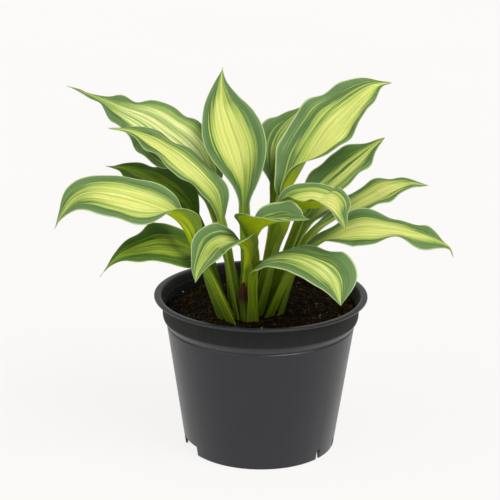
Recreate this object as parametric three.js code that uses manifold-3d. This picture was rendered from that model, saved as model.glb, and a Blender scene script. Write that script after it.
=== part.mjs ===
// A potted hosta: a clump of variegated leaves on a short crown, rooted in potting mix, in a
// thin nursery pot. Millimetres, +Z up, seen from the front along +Y. The origin is the middle
// of the pot's underside.

import * as THREE from 'three';
import { mergeVertices } from 'three/addons/utils/BufferGeometryUtils.js';
import Module from 'manifold-3d';

const wasm = await Module();
wasm.setup();

// ---------------------------------------------------------------- driving dimensions, mm

const GAP = 0.3; // clearance between neighbouring solids

const POT_HEIGHT = 126;
const RIM_RADIUS = 85;
const LIP_WIDTH = 5;
const LIP_THICKNESS = 2;
const COLLAR_RADIUS = 78.5;
const COLLAR_FOOT = 107;
const CREASE_RADIUS = 75;
const CREASE_HEIGHT = 102;
const FOOT_RADIUS = 60.4;
const WALL = 1.5;
const LEDGE_HEIGHT = 119.7;
const LEDGE_STEP = 0.8;
const PAD_RADIUS = 42; // the middle of the floor, which stands on the ground
const CHANNEL_LIFT = 5; // how far the ring of floor round the pad is raised
const POT_SEGMENTS = 48;

// Drain slots through the foot: angle from the front towards +X in degrees, and width.
const SLOT_HEIGHT = 8;
const SLOT_DEPTH = 12;
const SLOTS = [
  { angle: -67, width: 27 },
  { angle: 50, width: 4 },
  { angle: 75, width: 4 },
];

const SOIL_HEIGHT = 115;

const CROWN_CENTRE = [-8, -14];
const CROWN_RADIUS = 33;
const CROWN_SQUASH = 31 / 33;
const CROWN_DEPTH = 20;
const PETIOLE_FOOT = SOIL_HEIGHT + GAP; // every petiole stands on the crown's top

// A leaf's section, the same for every leaf.
const PETIOLE_HALF_WIDTH = 4.4;
const PETIOLE_FOLD = 38; // degrees that each half of the groove stands up
const PETIOLE_THICKNESS = 2.2;
const BLADE_THICKNESS = 0.9;
const PETIOLE_SECTIONS = 5;
const BLADE_SECTIONS = 14;

// Each leaf is one list of choices:
// heading    compass direction that it grows towards, degrees from +X towards +Y
// path       its midrib from the crown to the tip; bladeAt is the point where the blade begins
// width      the blade's full width, at the fraction of its length given by widest
// share      how much of half the width the left and right halves take
// baseRound  under 1 for a full round base; tipDraw over 1 for a long drawn-out tip
// left right degrees that each half of the blade stands up, at its base, middle and tip
// leftCurl rightCurl  how far the half bends on its way to the edge, negative for drooping
// roll       how far the blade is turned about its midrib
// wave       height, number and start of the ripples along the left edge, and the right edge's lag
const LEAVES = [
  {
    name: 'leaf_back_centre',
    heading: 90,
    bladeAt: 3,
    width: 46,
    share: [1.12, 1.02],
    widest: 0.5,
    baseRound: 1.1,
    tipDraw: 1.4,
    path: [
      [-12, 2, PETIOLE_FOOT], [-12, 5, 150], [-13, 8, 176], [-14, 9, 194], [-14, 14, 217],
      [-18, 20, 239], [-25, 26, 257], [-31, 33, 273], [-33, 40, 287], [-32, 45, 299],
    ],
    left: [40, 8, 5],
    right: [40, 26, 20],
    leftCurl: [-10, -12, -5],
    rightCurl: [-10, -12, -5],
    roll: [8, 8, 8],
    wave: { height: 1, count: 2.2, start: 0.1, lag: 0.37 },
  },
  {
    name: 'leaf_left_top',
    heading: 150,
    bladeAt: 3,
    width: 50,
    share: [1.15, 1],
    widest: 0.38,
    baseRound: 0.8,
    tipDraw: 2.1,
    path: [
      [-22, -7, PETIOLE_FOOT], [-26, -2, 150], [-31, 4, 176], [-38, 8, 200], [-47, 18, 222],
      [-58, 27, 234], [-74, 33, 246], [-91, 39, 257], [-110, 45, 264], [-126, 50, 270],
      [-142, 52, 276], [-157, 54, 281],
    ],
    left: [35, 10, -18],
    right: [35, 12, 8],
    leftCurl: [-5, -30, -10],
    rightCurl: [-20, -30, -10],
    roll: [-25, -35, -20],
    wave: { height: 3.6, count: 4.9, start: 0.24, lag: 0.37 },
  },
  {
    name: 'leaf_left_upper',
    heading: 176,
    bladeAt: 3,
    width: 47,
    share: [0.92, 1],
    widest: 0.47,
    baseRound: 0.6,
    tipDraw: 1.2,
    path: [
      [-18, -28, PETIOLE_FOOT], [-23, -24, 144], [-29, -20, 175], [-32, -17, 192], [-37, -11, 209],
      [-48, -4, 221], [-60, 1, 231], [-73, 5, 240], [-88, 8, 249], [-105, 11, 255],
      [-121, 12, 257],
    ],
    left: [15, 20, 25],
    right: [20, -8, 6],
    leftCurl: [-5, -5, -5],
    rightCurl: [-5, -15, -15],
    roll: [-22, -28, -20],
    wave: { height: 2.6, count: 3.4, start: 0.3, lag: 0.37 },
  },
  {
    name: 'leaf_left_shaded',
    heading: 162,
    bladeAt: 3,
    width: 46,
    share: [1, 1],
    widest: 0.42,
    baseRound: 0.65,
    tipDraw: 1.3,
    path: [
      [-32, -15, PETIOLE_FOOT], [-38, -11, 144], [-46, -5, 172], [-53, 2, 188], [-66, 9, 201],
      [-81, 17, 210], [-95, 23, 216], [-108, 28, 220], [-125, 32, 221],
    ],
    left: [35, 15, 8],
    right: [35, 10, 5],
    leftCurl: [-10, -10, -10],
    rightCurl: [-10, -20, -10],
    roll: [-15, -17, -10],
    wave: { height: 1.8, count: 3.3, start: 0.25, lag: 0.37 },
  },
  {
    name: 'leaf_left_arching',
    heading: 190,
    bladeAt: 3,
    width: 55,
    share: [0.92, 1],
    widest: 0.45,
    baseRound: 0.8,
    tipDraw: 1.1,
    path: [
      [-24, -37, PETIOLE_FOOT], [-36, -41, 146], [-44.9, -46, 166.7], [-50.9, -49, 179.6],
      [-56.9, -53, 194.6], [-63.9, -56, 203.6], [-76, -57, 211], [-93, -60, 218], [-110, -62, 223],
      [-127, -63, 225], [-140, -64, 220], [-150, -65, 208], [-155, -66, 198],
    ],
    left: [110, -10, 8],
    right: [20, 14, 12],
    leftCurl: [-5, -5, -5],
    rightCurl: [-10, -15, -5],
    roll: [-10, -20, -12],
    wave: { height: 3, count: 2.2, start: 0.09, lag: 0.45 },
  },
  {
    name: 'leaf_left_low',
    heading: 208,
    bladeAt: 3,
    width: 48,
    share: [1, 1],
    widest: 0.34,
    baseRound: 0.7,
    tipDraw: 1.8,
    path: [
      [-31, -29, PETIOLE_FOOT], [-40.5, -21, 140.6], [-45, -13, 153.9], [-49.1, -18, 161.9],
      [-58.1, -27, 169.9], [-67.8, -42, 176.2], [-79.4, -55, 181], [-93.2, -62, 181],
      [-104, -68, 179], [-113, -71, 173], [-121, -73, 163],
    ],
    left: [5, 10, 5],
    right: [45, 15, -5],
    leftCurl: [-10, -10, -10],
    rightCurl: [-10, -15, -10],
    roll: [-10, -25, -16],
    wave: { height: 1.8, count: 3, start: 0.6, lag: 0.37 },
  },
  {
    name: 'leaf_front_small',
    heading: 238,
    bladeAt: 2,
    width: 36,
    share: [1, 1],
    widest: 0.45,
    baseRound: 0.6,
    tipDraw: 1.1,
    path: [
      [-10, -24, PETIOLE_FOOT], [-12, -30, 141.4], [-11, -36, 162.3], [-11, -40, 173.3],
      [-17, -45, 180.9], [-25.9, -54, 184.9], [-36, -58, 183], [-42, -67, 177], [-47, -75, 170],
      [-49, -81, 162],
    ],
    left: [90, 18, 8],
    right: [35, 45, 15],
    leftCurl: [-10, -10, -10],
    rightCurl: [-10, -10, -10],
    roll: [0, -4, 0],
    wave: { height: 1, count: 2.4, start: 0.3, lag: 0.37 },
  },
  {
    name: 'leaf_right_rear',
    heading: 62,
    bladeAt: 4,
    width: 46,
    share: [1, 1],
    widest: 0.46,
    baseRound: 1,
    tipDraw: 1.2,
    path: [
      [1, 7, PETIOLE_FOOT], [7, 12, 150], [10, 17, 178], [11, 22, 196], [11, 28, 207],
      [12, 36, 221], [17, 48, 239], [26, 60, 253], [34, 72, 263],
    ],
    left: [30, 12, 5],
    right: [30, 12, 5],
    leftCurl: [-10, -10, -10],
    rightCurl: [-10, -10, -10],
    roll: [20, 20, 15],
    wave: { height: 1.5, count: 3.3, start: 0.3, lag: 0.37 },
  },
  {
    name: 'leaf_right_top',
    heading: 38,
    bladeAt: 3,
    width: 48,
    share: [1.2, 1.1],
    widest: 0.5,
    baseRound: 0.42,
    tipDraw: 0.9,
    path: [
      [0, -8, PETIOLE_FOOT], [5, -2, 146], [11, 6, 179], [17, 13, 202], [25, 20, 213],
      [33, 28, 225], [42, 34, 239], [55, 41, 256], [71, 49, 270], [88, 55, 282], [103, 60, 285],
    ],
    left: [50, 14, 12],
    right: [105, 30, 22],
    leftCurl: [-10, -20, -10],
    rightCurl: [-10, -20, -10],
    roll: [25, 25, 15],
    wave: { height: 3.8, count: 3.6, start: 0.36, lag: 0.44 },
  },
  {
    name: 'leaf_right_upper',
    heading: 24,
    bladeAt: 3,
    width: 46,
    share: [1, 1],
    widest: 0.54,
    baseRound: 0.7,
    tipDraw: 1.1,
    path: [
      [9, -4, PETIOLE_FOOT], [17, 1, 145], [27, 7, 173], [33, 10, 188], [42, 13, 201],
      [56, 18, 212], [73, 24, 226], [86, 28, 238], [97, 31, 247],
    ],
    left: [35, 12, 8],
    right: [35, 32, 20],
    leftCurl: [-10, -10, -10],
    rightCurl: [-10, -10, -10],
    roll: [20, 20, 10],
    wave: { height: 2.4, count: 2.6, start: 0.45, lag: 0.37 },
  },
  {
    name: 'leaf_right_narrow',
    heading: 14,
    bladeAt: 3,
    width: 40,
    share: [1.25, 0.9],
    widest: 0.62,
    baseRound: 0.9,
    tipDraw: 1.1,
    path: [
      [16, -14, PETIOLE_FOOT], [24, -9, 143], [35, -2, 168], [45, 3, 180], [58, 7, 187],
      [72, 11, 194], [87, 14, 201], [102, 17, 208], [117, 19, 212], [132, 20, 211],
    ],
    left: [30, 12, 5],
    right: [30, 6, 5],
    leftCurl: [-10, -10, -10],
    rightCurl: [-10, -10, -10],
    roll: [2, 2, 0],
    wave: { height: 1.6, count: 3.3, start: 0.3, lag: 0.37 },
  },
  {
    name: 'leaf_right_long',
    heading: 350,
    bladeAt: 2,
    width: 44,
    share: [1, 1],
    widest: 0.42,
    baseRound: 0.9,
    tipDraw: 1.05,
    path: [
      [8, -22, PETIOLE_FOOT], [17, -27, 141], [29.2, -24, 162.8], [42.5, -26, 175.6],
      [57.6, -30, 184.8], [74.7, -35, 193.1], [93.5, -46, 195.9], [107.3, -53, 196.1],
      [121, -59, 194], [133, -61, 190], [142, -62, 185], [145, -62, 177],
    ],
    left: [30, 12, 5],
    right: [25, -14, -8],
    leftCurl: [-10, -10, -10],
    rightCurl: [-10, -10, -10],
    roll: [5, 2, 0],
    wave: { height: 4.8, count: 2.5, start: 0.3, lag: 0.37 },
  },
  {
    name: 'leaf_centre_arching',
    heading: 342,
    bladeAt: 3,
    width: 48,
    share: [1.2, 0.8],
    widest: 0.42,
    baseRound: 0.55,
    tipDraw: 1.25,
    path: [
      [0, -22, PETIOLE_FOOT], [6, -21, 143], [12, -16, 170], [18, -12, 184], [21, -13, 192],
      [24, -16, 197], [30, -22, 202], [38, -33, 207], [48, -45, 212], [55, -56, 211],
      [60, -63, 206], [63, -70, 201],
    ],
    left: [66, 7, 8],
    right: [98, 60, 0],
    leftCurl: [-10, -20, -10],
    rightCurl: [-10, -15, -10],
    roll: [8, 10, 5],
    wave: { height: 2.4, count: 2.9, start: 0.75, lag: 0.37 },
  },
  {
    name: 'leaf_centre_folded',
    heading: 345,
    bladeAt: 4,
    width: 50,
    share: [1, 1],
    widest: 0.36,
    baseRound: 0.55,
    tipDraw: 1.2,
    path: [
      [-12, -13, PETIOLE_FOOT], [-9, -16, 140], [-4, -24, 160.7], [-5, -31, 174.3],
      [-6, -33.3, 180.4], [-2, -41.5, 190.6], [3, -46.5, 196.6], [11, -52.5, 201.6],
      [18.9, -60.5, 205.6], [26.9, -68.5, 208.5], [35.8, -73, 209.8],
    ],
    left: [42, 22, 8],
    right: [104, 40, 6],
    leftCurl: [-10, -10, -10],
    rightCurl: [-10, -10, -10],
    roll: [0, 2, 5],
    wave: { height: 1, count: 2, start: 0.2, lag: 0.37 },
  },
  {
    name: 'leaf_front_drooping',
    heading: 322,
    bladeAt: 3,
    width: 54,
    share: [1.1, 1],
    widest: 0.63,
    baseRound: 0.38,
    tipDraw: 1,
    path: [
      [-4, -36, PETIOLE_FOOT], [-5, -38, 133], [-5, -44, 150.7], [-3, -49, 164.7], [9, -55, 172.7],
      [21, -61, 175.6], [32.9, -67, 174.7], [43.9, -73, 170.7], [53, -77, 162], [60, -84, 146],
    ],
    left: [20, 8, 40],
    right: [-15, 8, 28],
    leftCurl: [-10, -10, -10],
    rightCurl: [-10, -10, -10],
    roll: [-5, 0, 5],
    wave: { height: 1.4, count: 2.2, start: 0.4, lag: 0.37 },
  },
  {
    name: 'leaf_behind_left',
    heading: 137,
    bladeAt: 3,
    width: 44,
    share: [1, 1],
    widest: 0.42,
    baseRound: 0.9,
    tipDraw: 1.25,
    path: [
      [-18, 4, PETIOLE_FOOT], [-26, 14, 145], [-35, 24, 172], [-42, 32, 190], [-52, 46, 203],
      [-62, 60, 208], [-72, 74, 205], [-80, 86, 196], [-86, 95, 184],
    ],
    left: [30, 12, 5],
    right: [30, 12, 5],
    leftCurl: [-10, -10, -10],
    rightCurl: [-10, -10, -10],
    roll: [0, 0, 0],
    wave: { height: 1.5, count: 3, start: 0.5, lag: 0.37 },
  },
  {
    name: 'leaf_behind_right',
    heading: 40,
    bladeAt: 3,
    width: 42,
    share: [1, 1],
    widest: 0.42,
    baseRound: 0.9,
    tipDraw: 1.25,
    path: [
      [12, 4, PETIOLE_FOOT], [20, 12, 140], [29, 20, 163], [37, 27, 175], [48, 38, 182],
      [59, 50, 183], [69, 61, 178], [77, 70, 169], [83, 77, 157],
    ],
    left: [30, 12, 5],
    right: [30, 12, 5],
    leftCurl: [-10, -10, -10],
    rightCurl: [-10, -10, -10],
    roll: [0, 0, 0],
    wave: { height: 1.5, count: 3, start: 0.1, lag: 0.37 },
  },
];

// The dry scale that wrapped the newest shoot.
const SHEATH = {
  name: 'bud_sheath',
  heading: 270,
  bladeAt: 1,
  width: 9,
  share: [1, 1],
  widest: 0.5,
  baseRound: 0.6,
  tipDraw: 0.8,
  path: [
    [-12, -35, PETIOLE_FOOT], [-12, -35, 119], [-13, -34.5, 130], [-13.5, -35.2, 147],
  ],
  left: [38, 30, 10],
  right: [38, 30, 10],
  leftCurl: [-10, -10, -10],
  rightCurl: [-10, -10, -10],
  roll: [0, 0, 0],
  wave: { height: 0.3, count: 1, start: 0, lag: 0.37 },
};

// ---------------------------------------------------------------- materials

function finish(colour, roughness) {
  return new THREE.MeshStandardMaterial({ color: colour, roughness, metalness: 0 });
}

const potPlastic = finish(0x2b2b2d, 0.5);
const peat = finish(0x2a1d13, 1.0);
const crownBark = finish(0x6a5a34, 0.9);
const leafGreen = finish(0x7fa05a, 0.5);
const dryScale = finish(0x6b3a24, 0.8);

// ---------------------------------------------------------------- solids

// Leaves only positions, welds them and drops the triangles that a pole flattens to a line.
function weld(geometry) {
  geometry.deleteAttribute('normal');
  geometry.deleteAttribute('uv');
  const welded = mergeVertices(geometry, 1e-4);
  const corners = welded.index.array;
  const kept = [];
  for (let i = 0; i < corners.length; i += 3) {
    const [a, b, c] = [corners[i], corners[i + 1], corners[i + 2]];
    if (a !== b && b !== c && c !== a) kept.push(a, b, c);
  }
  welded.setIndex(kept);
  return welded;
}

function toSolid(geometry) {
  const welded = weld(geometry);
  return new wasm.Manifold(new wasm.Mesh({
    numProp: 3,
    vertProperties: new Float32Array(welded.attributes.position.array),
    triVerts: new Uint32Array(welded.index.array),
  }));
}

function toGeometry(solid) {
  const mesh = solid.getMesh();
  const geometry = new THREE.BufferGeometry();
  geometry.setAttribute('position', new THREE.BufferAttribute(mesh.vertProperties, 3));
  geometry.setIndex(new THREE.BufferAttribute(mesh.triVerts, 1));
  geometry.computeVertexNormals();
  return geometry;
}

// A profile of [radius, height] pairs turned about +Z.
function turned(profile, segments) {
  const points = profile.map(([radius, height]) => new THREE.Vector2(radius, height));
  const geometry = new THREE.LatheGeometry(points, segments);
  geometry.rotateX(Math.PI / 2);
  return weld(geometry);
}

// ---------------------------------------------------------------- pot

// Radius of the tapered body's outside at a height.
function bodyRadius(height) {
  return FOOT_RADIUS + (CREASE_RADIUS - FOOT_RADIUS) * (height / CREASE_HEIGHT);
}

function potProfile() {
  const lipUnder = POT_HEIGHT - LIP_THICKNESS;
  const lipInner = RIM_RADIUS - LIP_WIDTH;
  const collarInner = COLLAR_RADIUS - WALL;
  const channelTop = CHANNEL_LIFT + WALL;
  return [
    [0, 0],
    [PAD_RADIUS, 0],
    [PAD_RADIUS + 4, CHANNEL_LIFT],
    [FOOT_RADIUS - WALL - 0.5, CHANNEL_LIFT],
    [FOOT_RADIUS - WALL, 0],
    [FOOT_RADIUS - 0.6, 0],
    [bodyRadius(1), 1],
    [CREASE_RADIUS - 0.4, CREASE_HEIGHT - 1.2],
    [CREASE_RADIUS - 0.4, CREASE_HEIGHT],
    [COLLAR_RADIUS - 1.6, CREASE_HEIGHT + 1.4],
    [COLLAR_RADIUS - 0.4, CREASE_HEIGHT + 3.2],
    [COLLAR_RADIUS, COLLAR_FOOT],
    [COLLAR_RADIUS, lipUnder],
    [RIM_RADIUS - 0.6, lipUnder],
    [RIM_RADIUS, lipUnder + 0.7],
    [RIM_RADIUS, POT_HEIGHT - 0.7],
    [RIM_RADIUS - 0.6, POT_HEIGHT],
    [lipInner, POT_HEIGHT],
    [lipInner - 1.8, POT_HEIGHT - 1.2],
    [collarInner, POT_HEIGHT - 3.4],
    [collarInner, LEDGE_HEIGHT],
    [collarInner - LEDGE_STEP, LEDGE_HEIGHT - LEDGE_STEP],
    [collarInner - LEDGE_STEP, COLLAR_FOOT],
    [CREASE_RADIUS - WALL - 0.4, CREASE_HEIGHT - 0.8],
    [bodyRadius(channelTop) - WALL, channelTop],
    [PAD_RADIUS + 4.6, channelTop],
    [PAD_RADIUS + 0.6, WALL],
    [0, WALL],
  ];
}

// A block that cuts the wall and the raised floor at the foot, at an angle from the front.
function slotCutter(angle, width) {
  const block = new THREE.BoxGeometry(width, SLOT_DEPTH, SLOT_HEIGHT + 2);
  block.translate(0, -(FOOT_RADIUS + 2 - SLOT_DEPTH / 2), SLOT_HEIGHT / 2 - 1);
  block.rotateZ(THREE.MathUtils.degToRad(angle));
  return toSolid(block);
}

function makePot() {
  let shell = toSolid(turned(potProfile(), POT_SEGMENTS));
  for (const slot of SLOTS) {
    for (const side of [0, 180]) {
      shell = shell.subtract(slotCutter(slot.angle + side, slot.width));
    }
  }
  return toGeometry(shell);
}

// ---------------------------------------------------------------- crown and potting mix

// The crown's outline, or the pocket that it fills when grown by a clearance.
function crownSolid(clearance, top) {
  const radius = CROWN_RADIUS + clearance;
  const bottom = SOIL_HEIGHT - CROWN_DEPTH - clearance;
  const lump = turned([
    [0, bottom],
    [radius * 0.55, bottom + 2],
    [radius * 0.88, bottom + 8],
    [radius, bottom + 14],
    [radius, top],
    [0, top],
  ], 32);
  lump.scale(1, CROWN_SQUASH, 1);
  lump.translate(CROWN_CENTRE[0], CROWN_CENTRE[1], 0);
  return toSolid(lump);
}

function makePottingMix() {
  const channelTop = CHANNEL_LIFT + WALL + GAP;
  const innerWall = (height) => bodyRadius(height) - WALL - GAP;
  const upperWall = COLLAR_RADIUS - WALL - LEDGE_STEP - GAP;
  const fill = toSolid(turned([
    [0, WALL + GAP],
    [PAD_RADIUS + 0.3, WALL + GAP],
    [PAD_RADIUS + 4.3, channelTop],
    [innerWall(channelTop), channelTop],
    [CREASE_RADIUS - WALL - GAP - 0.6, CREASE_HEIGHT - 0.8],
    [upperWall - 0.1, COLLAR_FOOT + 0.3],
    [upperWall - 0.1, SOIL_HEIGHT - 2],
    [upperWall - 12, SOIL_HEIGHT - 0.5],
    [CROWN_RADIUS + 16, SOIL_HEIGHT],
    [0, SOIL_HEIGHT],
  ], POT_SEGMENTS));
  return toGeometry(fill.subtract(crownSolid(GAP, SOIL_HEIGHT + 5)));
}

// ---------------------------------------------------------------- leaves

function smooth(x) {
  return x * x * (3 - 2 * x);
}

// A value given at the blade's base, middle and tip, read at a fraction of the blade.
function along([base, middle, tip], fraction) {
  const t = Math.min(Math.max(fraction, 0), 1);
  if (t < 0.5) return base + (middle - base) * smooth(t * 2);
  return middle + (tip - middle) * smooth(t * 2 - 1);
}

// Half of the blade's outline: 0 at the base, 1 where it is widest, 0 at the tip.
function outline(leaf, fraction) {
  const t = Math.min(Math.max(fraction, 0), 1);
  if (t < leaf.widest) return Math.sin((Math.PI / 2) * (t / leaf.widest)) ** leaf.baseRound;
  const past = (t - leaf.widest) / (1 - leaf.widest);
  return Math.max(Math.cos((Math.PI / 2) * past), 0) ** leaf.tipDraw;
}

// Everything about one cross-section: where it is, how it is turned, how wide and how bent.
function sectionAt(leaf, curve, fraction, length, bladeStart) {
  const along01 = Math.min(Math.max(fraction, 0), 1);
  const centre = curve.getPointAt(along01);
  const tangent = curve.getTangentAt(along01);
  const heading = THREE.MathUtils.degToRad(leaf.heading);
  const across = new THREE.Vector3(-Math.sin(heading), Math.cos(heading), 0);
  across.addScaledVector(tangent, -across.dot(tangent)).normalize();
  const t = (along01 * length - bladeStart) / (length - bladeStart);
  const roll = THREE.MathUtils.degToRad(along(leaf.roll, t));
  across.applyAxisAngle(tangent, roll);
  const normal = new THREE.Vector3().crossVectors(tangent, across);
  return { centre, tangent, across, normal, t, distance: along01 * length };
}

// A point of the upper face, v from -1 (right edge) to 1 (left edge), with the face's normal.
function facePoint(leaf, section, v, bladeStart) {
  const { centre, across, normal, t, distance } = section;
  const edge = Math.abs(v);
  const side = v > 0 ? 'left' : 'right';
  const spread = smooth(Math.min(Math.max(t / 0.12 + 1, 0), 1));
  const foldAngle = PETIOLE_FOLD + (along(leaf[side], t) - PETIOLE_FOLD) * spread;
  const fold = THREE.MathUtils.degToRad(foldAngle);
  const curlAngle = along(leaf[side + 'Curl'], t) * spread;
  const curl = THREE.MathUtils.degToRad(Math.abs(curlAngle) < 0.1 ? 0.1 : curlAngle);
  const clasp = 1 + 0.45 * Math.max(0, 1 - distance / (0.35 * bladeStart));
  const petiole = PETIOLE_HALF_WIDTH * (t < 0 ? clasp : Math.max(0, 1 - 3 * t));
  const widest = (leaf.width / 2) * leaf.share[v > 0 ? 0 : 1];
  const half = Math.max(Math.hypot(widest * (t > 0 ? outline(leaf, t) : 0), petiole), 0.5);
  const angle = fold + curl * edge;
  const sideways = half * (Math.sin(angle) - Math.sin(fold)) / curl;
  const phase = 2 * Math.PI * (leaf.wave.count * t + leaf.wave.start + (v > 0 ? 0 : leaf.wave.lag));
  const ripple = Math.sin(phase) + 0.4 * Math.sin(1.7 * phase + 1.3);
  const strength = Math.sqrt(Math.min(Math.max(t, 0), 1)) * Math.min(Math.max((1 - t) * 4, 0), 1);
  const rise = half * (Math.cos(fold) - Math.cos(angle)) / curl
    + leaf.wave.height * strength * edge ** 2.2 * ripple;
  const sign = Math.sign(v);
  const point = centre.clone().addScaledVector(across, sign * sideways).addScaledVector(normal, rise);
  const up = normal.clone().multiplyScalar(Math.cos(angle));
  up.addScaledVector(across, -sign * Math.sin(angle));
  return { point, up: v === 0 ? normal.clone() : up };
}

// The leaf as one closed body: grooved petiole and blade, five points over and three under.
function makeLeaf(leaf) {
  const controls = leaf.path.map((place) => new THREE.Vector3(...place));
  const curve = new THREE.CatmullRomCurve3(controls);
  const steps = 20;
  const lengths = curve.getLengths((controls.length - 1) * steps);
  const length = lengths[lengths.length - 1];
  const bladeStart = lengths[leaf.bladeAt * steps];
  const stations = [];
  for (let i = 0; i < PETIOLE_SECTIONS; i += 1) {
    stations.push((bladeStart / length) * (i / PETIOLE_SECTIONS));
  }
  for (let i = 0; i <= BLADE_SECTIONS; i += 1) {
    stations.push((bladeStart + (length - bladeStart) * (i / BLADE_SECTIONS)) / length);
  }
  const rings = stations.map((fraction, index) => {
    const section = sectionAt(leaf, curve, fraction, length, bladeStart);
    const thickness = BLADE_THICKNESS
      + (PETIOLE_THICKNESS - BLADE_THICKNESS) * Math.min(1, Math.max(0, 1 - section.t * 4));
    const over = [-1, -0.5, 0, 0.5, 1].map((v) => facePoint(leaf, section, v, bladeStart));
    const ring = over.map((face) => face.point);
    for (const [k, share] of [[3, 0.8], [2, 1], [1, 0.8]]) {
      ring.push(over[k].point.clone().addScaledVector(over[k].up, -thickness * share));
    }
    if (index === 0) {
      for (const point of ring) {
        point.addScaledVector(section.tangent, (PETIOLE_FOOT - point.z) / section.tangent.z);
      }
    }
    return ring;
  });
  return loft(rings);
}

// Joins rings of eight points (five over, three under) into one closed body. Both faces are
// split along the same diagonals, so that a twisted blade keeps its thickness.
function loft(rings) {
  const count = 8;
  const positions = rings.flat().flatMap((point) => [point.x, point.y, point.z]);
  const triangles = [];
  for (let i = 0; i + 1 < rings.length; i += 1) {
    for (let k = 0; k < count; k += 1) {
      const a = i * count + k;
      const b = i * count + ((k + 1) % count);
      if (k < 4) triangles.push(a, a + count, b, b, a + count, b + count);
      else triangles.push(a, a + count, b + count, a, b + count, b);
    }
  }
  const capStrip = [[0, 1, 7], [1, 2, 7], [7, 2, 6], [2, 3, 6], [6, 3, 5], [3, 4, 5]];
  const last = (rings.length - 1) * count;
  for (const [a, b, c] of capStrip) {
    triangles.push(a, b, c);
    triangles.push(last + a, last + c, last + b);
  }
  const geometry = new THREE.BufferGeometry();
  geometry.setAttribute('position', new THREE.Float32BufferAttribute(positions, 3));
  geometry.setIndex(triangles);
  geometry.computeVertexNormals();
  return geometry;
}

// ---------------------------------------------------------------- the plant in its pot

const plant = new THREE.Group();

function addNode(name, geometry, material) {
  const mesh = new THREE.Mesh(geometry, material);
  mesh.name = name;
  plant.add(mesh);
}

addNode('pot', makePot(), potPlastic);
addNode('potting_mix', makePottingMix(), peat);
addNode('crown', toGeometry(crownSolid(0, SOIL_HEIGHT)), crownBark);
addNode('bud_sheath', makeLeaf(SHEATH), dryScale);
for (const leaf of LEAVES) {
  addNode(leaf.name, makeLeaf(leaf), leafGreen);
}

export default plant;
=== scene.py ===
"""The looks of a potted hosta: variegated leaves, grooved stalks, dark peat, black nursery pot."""

import math

import bpy
import numpy as np
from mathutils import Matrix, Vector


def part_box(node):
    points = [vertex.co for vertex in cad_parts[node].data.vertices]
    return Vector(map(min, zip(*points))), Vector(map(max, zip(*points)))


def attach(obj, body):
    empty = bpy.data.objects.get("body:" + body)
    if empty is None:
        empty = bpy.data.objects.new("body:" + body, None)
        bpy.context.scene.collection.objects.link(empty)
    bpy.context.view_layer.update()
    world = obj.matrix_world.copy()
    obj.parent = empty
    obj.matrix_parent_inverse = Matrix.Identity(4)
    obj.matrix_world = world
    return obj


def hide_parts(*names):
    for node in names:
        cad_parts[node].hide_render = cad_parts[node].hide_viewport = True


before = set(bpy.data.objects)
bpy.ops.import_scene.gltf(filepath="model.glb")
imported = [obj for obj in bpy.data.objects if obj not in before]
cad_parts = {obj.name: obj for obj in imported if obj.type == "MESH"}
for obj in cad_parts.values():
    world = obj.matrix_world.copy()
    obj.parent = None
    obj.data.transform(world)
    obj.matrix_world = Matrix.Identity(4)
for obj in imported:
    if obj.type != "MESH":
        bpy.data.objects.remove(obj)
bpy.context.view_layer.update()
MM = 0.001

# ---------- sizes, mm

POT_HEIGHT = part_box("pot")[1].z / MM
RIM_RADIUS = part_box("pot")[1].x / MM
LIP_WIDTH = 5.0
LIP_THICKNESS = 2.0
COLLAR_RADIUS = RIM_RADIUS - 6.5
COLLAR_FOOT = 107.0
CREASE_RADIUS = RIM_RADIUS - 10.0
CREASE_HEIGHT = 102.0
FOOT_RADIUS = 60.4
WALL = 1.5
LEDGE_HEIGHT = 119.7
LEDGE_STEP = 0.8
PAD_RADIUS = 42.0
CHANNEL_LIFT = 5.0
SLOT_HEIGHT = 8.0
SLOT_DEPTH = 12.0
SLOTS = [(-67, 27.0), (50, 4.0), (75, 4.0)]  # angle from the front towards +X, width
SOIL_HEIGHT = 115.0
MIX_GAP = 0.3

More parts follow.
